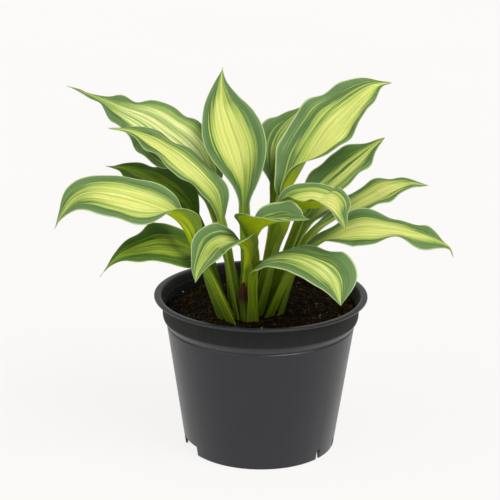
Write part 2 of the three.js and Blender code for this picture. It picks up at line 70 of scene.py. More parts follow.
# Each leaf is one set of values, mm and degrees, and HABIT holds what most share:
# heading      compass direction that it grows towards, from +X towards +Y
# path         its midrib from the crown to the tip; blade_at is the point where the blade begins
# width        the blade's full width, at the fraction of its length given by widest
# share        how much of half the width the left and right halves take
# base_round   under 1 for a full round base; tip_draw over 1 for a long drawn-out tip
# margin       widths of the green margin, left and right
# shade  how much painted shade darkens the leaf; striped is how much green runs through its centre
# left, right  how far each half of the blade stands up, at its base, middle and tip
# left_curl, right_curl  how far the half bends on its way to the edge, negative for drooping
# roll         how far the blade is turned about its midrib
# wave         height, number and start of the ripples along the left edge; lag is how far
#              the right edge's ripples are behind them
HABIT = {
    "blade_at": 3, "share": (1, 1), "left_curl": (-10, -10, -10), "right_curl": (-10, -10, -10),
    "roll": (0, 0, 0), "lag": 0.37, "shade": 0, "striped": 0}
LEAVES = [
    dict(name="leaf_back_centre", heading=90, width=46, share=(1.12, 1.02), widest=0.5,
         base_round=1.1, tip_draw=1.4, margin=(6, 9), seed=0.4,
         path=[(-12, 2, 115.5), (-12, 5, 150), (-13, 8, 176), (-14, 9, 194), (-14, 14, 217),
               (-18, 20, 239), (-25, 26, 257), (-31, 33, 273), (-33, 40, 287), (-32, 45, 299)],
         left=(40, 8, 5), right=(40, 26, 20), left_curl=(-10, -12, -5), right_curl=(-10, -12, -5),
         roll=(8, 8, 8), wave=(1, 2.2, 0.1)),
    dict(name="leaf_left_top", heading=150, width=50, share=(1.15, 1), widest=0.38,
         base_round=0.8, tip_draw=2.1, margin=(6, 6), seed=2.1, striped=1,
         path=[(-22, -7, 115.5), (-26, -2, 150), (-31, 4, 176), (-38, 8, 200), (-47, 18, 222),
               (-58, 27, 234), (-74, 33, 246), (-91, 39, 257), (-110, 45, 264), (-126, 50, 270),
               (-142, 52, 276), (-157, 54, 281)],
         left=(35, 10, -18), right=(35, 12, 8), left_curl=(-5, -30, -10),
         right_curl=(-20, -30, -10), roll=(-25, -35, -20), wave=(3.6, 4.9, 0.24)),
    dict(name="leaf_left_upper", heading=176, width=47, share=(0.92, 1), widest=0.47,
         base_round=0.6, tip_draw=1.2, margin=(5, 10), seed=3.8,
         path=[(-18, -28, 115.5), (-23, -24, 144), (-29, -20, 175), (-32, -17, 192),
               (-37, -11, 209), (-48, -4, 221), (-60, 1, 231), (-73, 5, 240), (-88, 8, 249),
               (-105, 11, 255), (-121, 12, 257)],
         left=(15, 20, 25), right=(20, -8, 6), left_curl=(-5, -5, -5), right_curl=(-5, -15, -15),
         roll=(-22, -28, -20), wave=(2.6, 3.4, 0.3)),
    dict(name="leaf_left_shaded", heading=162, width=46, widest=0.42, base_round=0.65,
         tip_draw=1.3, margin=(13, 13), seed=5.5, shade=0.62, striped=0.7,
         path=[(-32, -15, 115.5), (-38, -11, 144), (-46, -5, 172), (-53, 2, 188), (-66, 9, 201),
               (-81, 17, 210), (-95, 23, 216), (-108, 28, 220), (-125, 32, 221)],
         left=(35, 15, 8), right=(35, 10, 5), right_curl=(-10, -20, -10), roll=(-15, -17, -10),
         wave=(1.8, 3.3, 0.25)),
    dict(name="leaf_left_arching", heading=190, width=55, share=(0.92, 1), widest=0.45,
         base_round=0.8, tip_draw=1.1, margin=(9, 11), seed=7.2,
         path=[(-24, -37, 115.5), (-36, -41, 146), (-44.9, -46, 166.7), (-50.9, -49, 179.6),
               (-56.9, -53, 194.6), (-63.9, -56, 203.6), (-76, -57, 211), (-93, -60, 218),
               (-110, -62, 223), (-127, -63, 225), (-140, -64, 220), (-150, -65, 208),
               (-155, -66, 198)],
         left=(110, -10, 8), right=(20, 14, 12), left_curl=(-5, -5, -5), right_curl=(-10, -15, -5),
         roll=(-10, -20, -12), wave=(3, 2.2, 0.09), lag=0.45),
    dict(name="leaf_left_low", heading=208, width=48, widest=0.34, base_round=0.7,
         tip_draw=1.8, margin=(10, 12), seed=8.9, shade=0.52, striped=0.3,
         path=[(-31, -29, 115.5), (-40.5, -21, 140.6), (-45, -13, 153.9), (-49.1, -18, 161.9),
               (-58.1, -27, 169.9), (-67.8, -42, 176.2), (-79.4, -55, 181), (-93.2, -62, 181),
               (-104, -68, 179), (-113, -71, 173), (-121, -73, 163)],
         left=(5, 10, 5), right=(45, 15, -5), right_curl=(-10, -15, -10), roll=(-10, -25, -16),
         wave=(1.8, 3, 0.6)),
    dict(name="leaf_front_small", heading=238, blade_at=2, width=36, widest=0.45,
         base_round=0.6, tip_draw=1.1, margin=(10, 10), seed=10.6,
         path=[(-10, -24, 115.5), (-12, -30, 141.4), (-11, -36, 162.3), (-11, -40, 173.3),
               (-17, -45, 180.9), (-25.9, -54, 184.9), (-36, -58, 183), (-42, -67, 177),
               (-47, -75, 170), (-49, -81, 162)],
         left=(90, 18, 8), right=(35, 45, 15), roll=(0, -4, 0), wave=(1, 2.4, 0.3)),
    dict(name="leaf_right_rear", heading=62, blade_at=4, width=46, widest=0.46,
         base_round=1, tip_draw=1.2, margin=(16, 14), seed=12.3, shade=0.12, striped=0.5,
         path=[(1, 7, 115.5), (7, 12, 150), (10, 17, 178), (11, 22, 196), (11, 28, 207),
               (12, 36, 221), (17, 48, 239), (26, 60, 253), (34, 72, 263)],
         left=(30, 12, 5), right=(30, 12, 5), roll=(20, 20, 15), wave=(1.5, 3.3, 0.3)),
    dict(name="leaf_right_top", heading=38, width=48, share=(1.2, 1.1), widest=0.5,
         base_round=0.42, tip_draw=0.9, margin=(14, 4), seed=14,
         path=[(0, -8, 115.5), (5, -2, 146), (11, 6, 179), (17, 13, 202), (25, 20, 213),
               (33, 28, 225), (42, 34, 239), (55, 41, 256), (71, 49, 270), (88, 55, 282),
               (103, 60, 285)],
         left=(50, 14, 12), right=(105, 30, 22), left_curl=(-10, -20, -10),
         right_curl=(-10, -20, -10), roll=(25, 25, 15), wave=(3.8, 3.6, 0.36), lag=0.44),
    dict(name="leaf_right_upper", heading=24, width=46, widest=0.54, base_round=0.7,
         tip_draw=1.1, margin=(20, 8), seed=15.7, shade=0.12, striped=0.4,
         path=[(9, -4, 115.5), (17, 1, 145), (27, 7, 173), (33, 10, 188), (42, 13, 201),
               (56, 18, 212), (73, 24, 226), (86, 28, 238), (97, 31, 247)],
         left=(35, 12, 8), right=(35, 32, 20), roll=(20, 20, 10), wave=(2.4, 2.6, 0.45)),
    dict(name="leaf_right_narrow", heading=14, width=40, share=(1.25, 0.9), widest=0.62,
         base_round=0.9, tip_draw=1.1, margin=(9, 6), seed=17.4,
         path=[(16, -14, 115.5), (24, -9, 143), (35, -2, 168), (45, 3, 180), (58, 7, 187),
               (72, 11, 194), (87, 14, 201), (102, 17, 208), (117, 19, 212), (132, 20, 211)],
         left=(30, 12, 5), right=(30, 6, 5), roll=(2, 2, 0), wave=(1.6, 3.3, 0.3)),
    dict(name="leaf_right_long", heading=350, blade_at=2, width=44, widest=0.42,
         base_round=0.9, tip_draw=1.05, margin=(9, 5), seed=19.1,
         path=[(8, -22, 115.5), (17, -27, 141), (29.2, -24, 162.8), (42.5, -26, 175.6),
               (57.6, -30, 184.8), (74.7, -35, 193.1), (93.5, -46, 195.9), (107.3, -53, 196.1),
               (121, -59, 194), (133, -61, 190), (142, -62, 185), (145, -62, 177)],
         left=(30, 12, 5), right=(25, -14, -8), roll=(5, 2, 0), wave=(4.8, 2.5, 0.3)),
    dict(name="leaf_centre_arching", heading=342, width=48, share=(1.2, 0.8), widest=0.42,
         base_round=0.55, tip_draw=1.25, margin=(6, 3), seed=20.8,
         path=[(0, -22, 115.5), (6, -21, 143), (12, -16, 170), (18, -12, 184), (21, -13, 192),
               (24, -16, 197), (30, -22, 202), (38, -33, 207), (48, -45, 212), (55, -56, 211),
               (60, -63, 206), (63, -70, 201)],
         left=(66, 7, 8), right=(98, 60, 0), left_curl=(-10, -20, -10), right_curl=(-10, -15, -10),
         roll=(8, 10, 5), wave=(2.4, 2.9, 0.75)),
    dict(name="leaf_centre_folded", heading=345, blade_at=4, width=50, widest=0.36,
         base_round=0.55, tip_draw=1.2, margin=(25, 6), seed=22.5, shade=0.05,
         path=[(-12, -13, 115.5), (-9, -16, 140), (-4, -24, 160.7), (-5, -31, 174.3),
               (-6, -33.3, 180.4), (-2, -41.5, 190.6), (3, -46.5, 196.6), (11, -52.5, 201.6),
               (18.9, -60.5, 205.6), (26.9, -68.5, 208.5), (35.8, -73, 209.8)],
         left=(42, 22, 8), right=(104, 40, 6), roll=(0, 2, 5), wave=(1, 2, 0.2)),
    dict(name="leaf_front_drooping", heading=322, width=54, share=(1.1, 1), widest=0.63,
         base_round=0.38, tip_draw=1, margin=(17, 13), seed=24.2, striped=0.4,
         path=[(-4, -36, 115.5), (-5, -38, 133), (-5, -44, 150.7), (-3, -49, 164.7),
               (9, -55, 172.7), (21, -61, 175.6), (32.9, -67, 174.7), (43.9, -73, 170.7),
               (53, -77, 162), (60, -84, 146)],
         left=(20, 8, 40), right=(-15, 8, 28), roll=(-5, 0, 5), wave=(1.4, 2.2, 0.4)),
    dict(name="leaf_behind_left", heading=137, width=44, widest=0.42, base_round=0.9,
         tip_draw=1.25, margin=(9, 9), seed=25.9,
         path=[(-18, 4, 115.5), (-26, 14, 145), (-35, 24, 172), (-42, 32, 190), (-52, 46, 203),
               (-62, 60, 208), (-72, 74, 205), (-80, 86, 196), (-86, 95, 184)],
         left=(30, 12, 5), right=(30, 12, 5), wave=(1.5, 3, 0.5)),
    dict(name="leaf_behind_right", heading=40, width=42, widest=0.42, base_round=0.9,
         tip_draw=1.25, margin=(9, 9), seed=27.6,
         path=[(12, 4, 115.5), (20, 12, 140), (29, 20, 163), (37, 27, 175), (48, 38, 182),
               (59, 50, 183), (69, 61, 178), (77, 70, 169), (83, 77, 157)],
         left=(30, 12, 5), right=(30, 12, 5), wave=(1.5, 3, 0.1)),
]

# The dry scale that wrapped the newest shoot.
SHEATH = dict(name="bud_sheath", heading=270, blade_at=1, width=9, widest=0.5,
              base_round=0.6, tip_draw=0.8, margin=(3, 3), seed=29.3,
              path=[(-12, -35, 115.5), (-12, -35, 119), (-13, -34.5, 130), (-13.5, -35.2, 147)],
              left=(38, 30, 10), right=(38, 30, 10), wave=(0.3, 1, 0))

# ---------- node helpers


class Graph:
    """Adds nodes to a tree and joins them, so that a pattern reads like a sum."""

    def __init__(self, tree):
        self.tree = tree

    def add(self, kind, inputs=None, **settings):
        node = self.tree.nodes.new(kind)
        for name, value in settings.items():
            setattr(node, name, value)
        for name, value in (inputs or {}).items():
            self.put(node.inputs[name], value)
        return node

    def put(self, socket, value):
        if isinstance(value, bpy.types.NodeSocket):
            self.tree.links.new(value, socket)
        else:
            socket.default_value = value

    def math(self, operation, first, second=0.0, clamp=False):
        inputs = {0: first, 1: second}
        node = self.add("ShaderNodeMath", inputs, operation=operation, use_clamp=clamp)
        return node.outputs[0]

    def plus(self, first, second, clamp=False):
        return self.math("ADD", first, second, clamp)

    def minus(self, first, second, clamp=False):
        return self.math("SUBTRACT", first, second, clamp)

    def times(self, first, second):
        return self.math("MULTIPLY", first, second)

    def remap(self, value, low, high, to_low=0.0, to_high=1.0):
        inputs = {"Value": value, "From Min": low, "From Max": high, "To Min": to_low,
                  "To Max": to_high}
        node = self.add("ShaderNodeMapRange", inputs, interpolation_type="SMOOTHSTEP")
        return node.outputs["Result"]

    def vector(self, x, y, z):
        return self.add("ShaderNodeCombineXYZ", {"X": x, "Y": y, "Z": z}).outputs[0]

    def noise(self, vector, scale, detail=2.0, roughness=0.5):
        inputs = {"Vector": vector, "Scale": scale, "Detail": detail, "Roughness": roughness}
        return self.add("ShaderNodeTexNoise", inputs).outputs["Fac"]

    def mix(self, factor, first, second, blend="MIX"):
        node = self.add("ShaderNodeMix", data_type="RGBA", blend_type=blend)
        self.put(node.inputs[0], factor)
        self.put(node.inputs[6], first)
        self.put(node.inputs[7], second)
        return node.outputs[2]

    def ramp(self, factor, stops):
        node = self.add("ShaderNodeValToRGB", {"Fac": factor})
        while len(node.color_ramp.elements) < len(stops):
            node.color_ramp.elements.new(0.5)
        for element, (place, colour) in zip(node.color_ramp.elements, stops):
            element.position = place
            element.color = (*colour, 1.0)
        return node.outputs["Color"]

    def attribute(self, name):
        return self.add("ShaderNodeAttribute", attribute_name=name).outputs["Fac"]

    def paint(self, shader, colour, roughness, relief, strength, distance):
        """Joins a finish to a shader: its colour, its roughness and its relief."""
        self.put(shader.inputs["Base Color"], colour)
        self.put(shader.inputs["Roughness"], roughness)
        inputs = {"Height": relief, "Strength": strength, "Distance": distance}
        self.put(shader.inputs["Normal"], self.add("ShaderNodeBump", inputs).outputs["Normal"])


def rgb(red, green, blue):
    """A linear colour from everyday 0 to 255 values."""
    linear = []
    for value in (red, green, blue):
        share = value / 255
        linear.append(share / 12.92 if share <= 0.04045 else ((share + 0.055) / 1.055) ** 2.4)
    return tuple(linear)


def rgba(*values):
    return (*rgb(*values), 1.0)


def new_group(name, inputs, output, tree_type="ShaderNodeTree"):
    """A node group, its graph, its inputs by name and its output socket.

    Each input is given its usual number, or the kind of thing that it takes.
    """
    group = bpy.data.node_groups.new(name, tree_type)
    for label, value in inputs.items():
        kind = value if isinstance(value, str) else type(value).__name__.capitalize()
        socket = group.interface.new_socket(label, in_out="INPUT", socket_type="NodeSocket" + kind)
        if not isinstance(value, str):
            socket.default_value = value
    label, kind = output
    group.interface.new_socket(label, in_out="OUTPUT", socket_type="NodeSocket" + kind)
    graph = Graph(group)
    start = graph.add("NodeGroupInput")
    given = {label: start.outputs[label] for label in inputs}
    return group, graph, given, graph.add("NodeGroupOutput").inputs[0]


def use_group(graph, group, inputs):
    node = graph.add("ShaderNodeGroup", node_tree=group)
    for name, value in inputs.items():
        graph.put(node.inputs[name], value)
    return node.outputs[0]


def new_material(name, **constants):
    """A Principled material; constants are set on the shader's own sockets."""
    material = bpy.data.materials.new(name)
    material.use_nodes = True
    shader = material.node_tree.nodes["Principled BSDF"]
    for label, value in constants.items():
        shader.inputs[label.replace("_", " ")].default_value = value
    return material, Graph(material.node_tree), shader


# ---------- shared effects


def mottle_group():
    """Soft cloudy variation about zero: broad clouds with a finer grain over them."""
    group, graph, given, result = new_group(
        "mottle", {"Vector": "Vector", "Scale": 100.0, "Strength": 1.0}, ("Value", "Float"))
    broad = graph.noise(given["Vector"], given["Scale"], 3.0, 0.6)
    fine_scale = graph.times(given["Scale"], 7.3)
    fine = graph.noise(given["Vector"], fine_scale, 2.0, 0.6)
    centred = graph.minus(graph.plus(graph.times(broad, 0.7), graph.times(fine, 0.3)), 0.5)
    graph.put(result, graph.times(centred, given["Strength"]))
    return group


def streak_group():
    """Long thin streaks that run along a grown or moulded surface, about zero."""
    group, graph, given, result = new_group(
        "streaks", {"Along": 0.0, "Across": 0.0, "Seed": 0.0, "Count": 9.0, "Stretch": 1.6},
        ("Value", "Float"))
    across = graph.times(given["Across"], given["Count"])
    along = graph.times(given["Along"], given["Stretch"])
    place = graph.vector(across, along, given["Seed"])
    value = graph.noise(place, 1.0, 3.0, 0.62)
    graph.put(result, graph.minus(value, 0.5))
    return group


def speck_group():
    """Small scattered specks: 1 on a speck, 0 between them."""
    group, graph, given, result = new_group(
        "specks", {"Vector": "Vector", "Scale": 900.0, "Amount": 0.1}, ("Mask", "Float"))
    cells = graph.add("ShaderNodeTexVoronoi", {"Vector": given["Vector"],
                                               "Scale": given["Scale"]})
    near = graph.remap(cells.outputs["Distance"], 0.28, 0.12)
    chosen_parts = graph.add("ShaderNodeSeparateColor", {"Color": cells.outputs["Color"]})
    chosen = graph.math("LESS_THAN", chosen_parts.outputs[0], given["Amount"])
    graph.put(result, graph.times(near, chosen))
    return group


VEINS = 7.5  # across each half of a blade

MOTTLE = mottle_group()
STREAKS = streak_group()
SPECKS = speck_group()


def object_place(graph):
    return graph.add("ShaderNodeTexCoord").outputs["Object"]


# ---------- materials


def leaf_material():
    """Yellow centre with green streaks, blue-green margin with a fine pale edge, olive stalk."""
    material, graph, shader = new_material(
        "hosta_leaf", Subsurface_Weight=0.3, Subsurface_Scale=0.0008, Specular_IOR_Level=0.25)
    shader.inputs["Subsurface Radius"].default_value = (0.8, 1.0, 0.15)
    along, across, rim, under, seed, shade, striped = (
        graph.attribute(name)
        for name in ("along", "across", "rim", "under", "seed", "shade", "striped"))

    def streaks(shift, count, stretch):
        inputs = {"Along": along, "Across": across, "Seed": graph.plus(seed, shift),
                  "Count": count, "Stretch": stretch}
        return use_group(graph, STREAKS, inputs)

    broad = streaks(0.0, 9.0, 1.3)
    fine = streaks(5.3, 30.0, 1.2)
    hair = streaks(9.1, 90.0, 1.0)
    shifted = graph.plus(graph.plus(rim, graph.times(broad, 3.0)), graph.times(fine, 1.7))
    margin = graph.remap(shifted, 1.18, 0.86)
    halo = graph.minus(graph.remap(shifted, 2.1, 1.0), margin, clamp=True)

    # The centre: pale yellow with soft green bands that run along the veins.
    centre = graph.ramp(
        graph.plus(0.5, graph.times(hair, 1.4)),
        [(0.1, rgb(198, 208, 94)), (0.5, rgb(220, 224, 126)), (0.9, rgb(236, 236, 164))])
    bands = graph.plus(streaks(2.7, 16.0, 0.8), graph.times(striped, 0.08))
    bands = graph.times(graph.remap(bands, 0.03, 0.17),
                        graph.plus(0.4, graph.times(striped, 0.5)))
    green_base = graph.remap(along, 0.4, 0.0)
    bands = graph.math("MAXIMUM", bands, graph.times(green_base, 0.7))
    paleness = graph.times(striped, 0.6)
    centre = graph.mix(paleness, centre, rgba(232, 234, 172))
    band_green = graph.mix(paleness, rgba(142, 174, 56), rgba(138, 168, 108))
    blade = graph.mix(bands, centre, band_green)
    blade = graph.mix(graph.times(halo, 0.85), blade, rgba(134, 166, 62))

    # The margin: blue-green with a grey bloom, darker towards the centre.
    outer = graph.remap(rim, 0.8, 0.2)
    green = graph.mix(outer, rgba(68, 102, 40), rgba(94, 126, 76))
    bloom = graph.plus(0.3, graph.times(fine, 1.4), clamp=True)
    green = graph.mix(bloom, green, rgba(120, 150, 96))
    blade = graph.mix(margin, blade, green)
    edge_line = graph.remap(rim, 0.13, 0.04)
    blade = graph.mix(graph.times(edge_line, 0.75), blade, rgba(204, 214, 158))

    # Veins run from the blade's base to its tip, and the midrib is the broadest.
    vein_wave = graph.math("COSINE", graph.times(across, math.tau * VEINS))
    veins = graph.remap(vein_wave, 0.55, 1.0)
    midrib = graph.remap(graph.math("ABSOLUTE", across), 0.05, 0.0)
    lines = graph.math("MAXIMUM", graph.times(veins, 0.45), midrib)
    blade = graph.mix(graph.times(lines, 0.36), blade, rgba(116, 144, 44))

    # The underside: the same pattern, duller in the margin and brighter in the centre.
    below = graph.mix(graph.remap(shifted, 1.4, 0.7), rgba(180, 200, 8), rgba(100, 134, 52))
    glint = graph.plus(0.15, graph.times(fine, 1.6), clamp=True)
    below = graph.mix(glint, below, rgba(200, 214, 48))
    blade = graph.mix(under, blade, below)

    stalk = graph.ramp(
        graph.plus(0.5, graph.times(fine, 2.0)),
        [(0.15, rgb(84, 110, 2)), (0.5, rgb(116, 142, 10)), (0.95, rgb(170, 188, 56))])
    # The stalks darken towards the soil: partly their own darker green, partly painted shade
    # between the crowded stalks.
    foot_green_and_shade = graph.times(graph.remap(along, -0.55, -1.0), 0.4)
    stalk = graph.mix(foot_green_and_shade, stalk, rgba(74, 92, 6))
    colour = graph.mix(graph.remap(along, -0.14, 0.1), stalk, blade)

    # Painted shade and random mottle: a leaf in shadow is painted darker, the deepest towards dark
    # green.
    mottle = use_group(graph, MOTTLE, {"Vector": object_place(graph), "Scale": 110.0,
                                       "Strength": 0.5})
    shade_and_mottle_tint = graph.plus(graph.times(shade, 1.6), graph.times(mottle, 0.5), clamp=True)
    colour = graph.mix(shade_and_mottle_tint, colour, (0.48, 0.62, 0.08, 1.0), blend="MULTIPLY")
    deepest_painted_shade = graph.remap(shade, 0.45, 1.0, 0.0, 0.8)
    colour = graph.mix(deepest_painted_shade, colour, rgba(46, 70, 16))
    gloss = graph.plus(graph.plus(0.46, graph.times(mottle, 0.3)), graph.times(margin, 0.06))

    # Sunken veins and fine ridges, which fade where the leaf is too narrow for them.
    ridge = graph.plus(graph.times(lines, -0.8), graph.times(fine, 1.2))
    ridge = graph.plus(ridge, graph.times(hair, 0.6))
    room = graph.times(graph.remap(along, 1.0, 0.7), graph.remap(along, -0.15, 0.2, 0.3, 1.0))
    graph.paint(shader, colour, gloss, graph.times(ridge, room), 0.6, 0.0009)
    return material


def pot_material():
    """Black injection-moulded plastic, satin, with faint flow streaks, a little dust and painted
    shade inside.
    """
    material, graph, shader = new_material("black_plastic", Specular_IOR_Level=0.5)
    place = object_place(graph)
    parts = graph.add("ShaderNodeSeparateXYZ", {"Vector": place})
    turn = graph.math("ARCTAN2", parts.outputs["Y"], parts.outputs["X"])
    flow = use_group(graph, STREAKS, {
        "Along": graph.times(parts.outputs["Z"], 12.0), "Across": turn, "Count": 26.0,
        "Stretch": 0.8})
    clouds = use_group(graph, MOTTLE, {"Vector": place, "Scale": 60.0})
    dust = use_group(graph, SPECKS, {"Vector": place, "Scale": 1100.0})
    tone = graph.plus(0.5, graph.times(clouds, 0.9))
    base = graph.mix(tone, rgba(12, 14, 20), rgba(24, 26, 34))
    base = graph.mix(graph.times(dust, 0.35), base, rgba(90, 88, 84))

    # Painted shade: the inner wall above the soil is painted near-black, and made duller.
    radius = graph.math("SQRT", graph.plus(graph.math("POWER", parts.outputs["X"], 2.0),
                                           graph.math("POWER", parts.outputs["Y"], 2.0)))
    within = graph.remap(radius, (RIM_RADIUS - 4.8) * MM, (RIM_RADIUS - 6.2) * MM)
    above = graph.remap(parts.outputs["Z"], COLLAR_FOOT * MM, (COLLAR_FOOT + 2) * MM)
    inside = graph.times(within, above)
    base = graph.mix(inside, base, rgba(4, 3, 2))
    rough = graph.plus(graph.plus(0.34, graph.times(flow, 0.16)), graph.times(clouds, 0.15))
    rough = graph.plus(rough, graph.times(inside, 0.5))
    relief = graph.plus(graph.noise(place, 1500.0, 2.0), graph.times(flow, 2.0))
    graph.paint(shader, base, rough, relief, 0.25, 0.0001)
    return material


def crumbly_material(name, tones, specks_amount, grain_scale):
    """A dull grainy finish in three tones, with pale specks if wanted."""
    material, graph, shader = new_material(name, Specular_IOR_Level=0.06)
    place = object_place(graph)
    clouds = use_group(graph, MOTTLE, {
        "Vector": place, "Scale": grain_scale, "Strength": 2.4})
    colour = graph.ramp(graph.plus(0.5, clouds), list(zip((0.15, 0.5, 0.9), tones)))
    grit = use_group(graph, SPECKS, {
        "Vector": place, "Scale": 1300.0, "Amount": specks_amount})
    colour = graph.mix(graph.times(grit, 0.6), colour, rgba(150, 130, 104))
    rough = graph.minus(0.85, graph.times(clouds, 0.2))
    relief = graph.noise(place, grain_scale * 9, 3.0, 0.7)
    graph.paint(shader, colour, rough, relief, 0.6, 0.0004)
    return material


def scale_material():
    """The dry papery scale round the newest shoot."""
    material, graph, shader = new_material("dry_scale", Specular_IOR_Level=0.3)
    along = graph.attribute("along")
    fine = use_group(graph, STREAKS, {
        "Along": along, "Across": graph.attribute("across"), "Count": 12.0,
        "Stretch": 2.0})
    tone = graph.plus(0.5, graph.times(fine, 2.0))
    colour = graph.ramp(
        tone, [(0.1, rgb(36, 14, 4)), (0.55, rgb(70, 32, 10)), (0.95, rgb(120, 76, 40))])
    colour = graph.mix(graph.remap(along, 0.55, 0.25), colour, rgba(80, 98, 10))
    rough = graph.minus(0.75, graph.times(tone, 0.2))
    graph.paint(shader, colour, rough, tone, 0.6, 0.0003)
    return material


LEAF = leaf_material()
BLACK_PLASTIC = pot_material()
PEAT, CRUMB, BARK, GRIT, MOSS = (
    crumbly_material(name, [rgb(*tone) for tone in tones], specks_amount, grain_scale)
    for name, tones, specks_amount, grain_scale in (
        ("peat", [(6, 4, 2), (20, 14, 6), (62, 46, 24)], 0.05, 260.0),
        ("peat_crumb", [(8, 5, 2), (36, 25, 11), (92, 66, 36)], 0.04, 240.0),
        ("bark", [(42, 22, 10), (86, 52, 28), (132, 96, 60)], 0.0, 220.0),
        ("white_grit", [(170, 164, 150), (205, 200, 188), (232, 228, 220)], 0.0, 300.0),
        ("moss", [(18, 22, 4), (36, 44, 8), (66, 76, 20)], 0.0, 200.0)))
SCALE = scale_material()

# ---------- meshes


def put_in_scene(name, data):
    piece = bpy.data.objects.new(name, data)
    bpy.context.scene.collection.objects.link(piece)
    return piece


def new_object(name, vertices, faces, material, flat=False):
    """A mesh object at the origin, from points in metres."""
    mesh = bpy.data.meshes.new(name)
    mesh.from_pydata(np.asarray(vertices).tolist(), [], [list(map(int, face)) for face in faces])
    mesh.update()
    if flat:
        mesh.shade_flat()
    else:
        mesh.shade_smooth()
    mesh.materials.append(material)
    return put_in_scene(name, mesh)


def grid_faces(rows, columns, start=0, closed=False, flip=False):
    """Quads over a grid of points; closed joins the last column to the first."""
    row = np.arange(rows - 1)[:, None]
    column = np.arange(columns if closed else columns - 1)[None, :]
    following = (column + 1) % columns
    corners = [row * columns + column, (row + 1) * columns + column,
               (row + 1) * columns + following, row * columns + following]
    if flip:
        corners.reverse()
    return np.stack(corners, -1).reshape(-1, 4) + start


def rings(radii, heights, segments):
    """Points on level circles, one circle after another."""
    angles = np.linspace(0, math.tau, segments, endpoint=False)
    radii, heights = np.asarray(radii)[:, None], np.asarray(heights)[:, None]
    return np.stack([radii * np.cos(angles), radii * np.sin(angles), heights + 0 * angles],
                    -1).reshape(-1, 3)


def closed_solid(name, points, segments, poles, material, flip=False):
    """A solid from rings of points, mm, with a fan from a pole over each end."""
    rows = len(points) // segments
    first, last = len(points), len(points) + 1
    faces = grid_faces(rows, segments, closed=True, flip=flip).tolist()
    end = (rows - 1) * segments
    for k in range(segments):
        after = (k + 1) % segments
        pair = (after, k) if flip else (k, after)
        faces.append([first, *pair])
        faces.append([last, end + pair[1], end + pair[0]])
    return new_object(name, np.vstack([points, *poles]) * MM, faces, material)


def set_attribute(piece, name, values):
    attribute = piece.data.attributes.new(name, "FLOAT", "POINT")
    attribute.data.foreach_set("value", np.asarray(values, np.float32).ravel())


def curve_through(controls, steps=40):
    """Points of a centripetal Catmull-Rom curve, their distances and each control's distance."""
    controls = np.asarray(controls, float)
    guide = np.vstack([2 * controls[0] - controls[1], controls, 2 * controls[-1] - controls[-2]])
    stretches = []
    for index in range(1, len(guide) - 2):
        p0, p1, p2, p3 = guide[index - 1:index + 3]
        t1 = np.linalg.norm(p1 - p0) ** 0.5
        t2 = t1 + np.linalg.norm(p2 - p1) ** 0.5
        t3 = t2 + np.linalg.norm(p3 - p2) ** 0.5
        t = np.linspace(t1, t2, steps, endpoint=False)[:, None]

        def blend(first, second, start, end):
            return (end - t) / (end - start) * first + (t - start) / (end - start) * second

        a1, a2, a3 = blend(p0, p1, 0, t1), blend(p1, p2, t1, t2), blend(p2, p3, t2, t3)
        stretches.append(blend(blend(a1, a2, 0, t2), blend(a2, a3, t1, t3), t1, t2))
    points = np.vstack([*stretches, controls[-1:]])
    distances = np.r_[0, np.cumsum(np.linalg.norm(np.diff(points, axis=0), axis=1))]
    return points, distances, distances[::steps]


def smooth(x):
    x = np.clip(x, 0, 1)
    return x * x * (3 - 2 * x)


def along_blade(values, t):
    """A value given at the blade's base, middle and tip, read at fractions of the blade."""
    base, middle, tip = values
    first = base + (middle - base) * smooth(t * 2)
    return np.where(t < 0.5, first, middle + (tip - middle) * smooth(t * 2 - 1))


PETIOLE_HALF_WIDTH = 5.0
PETIOLE_FOLD = 38.0
PETIOLE_THICKNESS = 2.2
BLADE_THICKNESS = 0.5
MIDRIB_DEPTH = 0.7
CLASP_WIDENING = 0.45  # how much wider a stalk's foot is, over this share of its length
CLASP_REACH = 0.35
BURIED = 4.0  # how far a stalk goes on below the soil
OPENING = 0.12  # the stalk opens into the blade over this share of the blade's length
TIP_HALF_WIDTH = 0.25
DIRECTION_STEP = 1.5  # the midrib's direction is read this far before and after a point
RIPPLE_REACH = 2.2  # higher keeps the ripples nearer the edge
SWELL_DEPTH = 0.5
FURROW_DEPTH = 0.3
MARGIN_SHARE = 0.62  # the most of a half that the green covers
WIDE_MARGIN = 24.0  # but from this width on, it covers WIDE_SHARE
WIDE_SHARE = 0.94


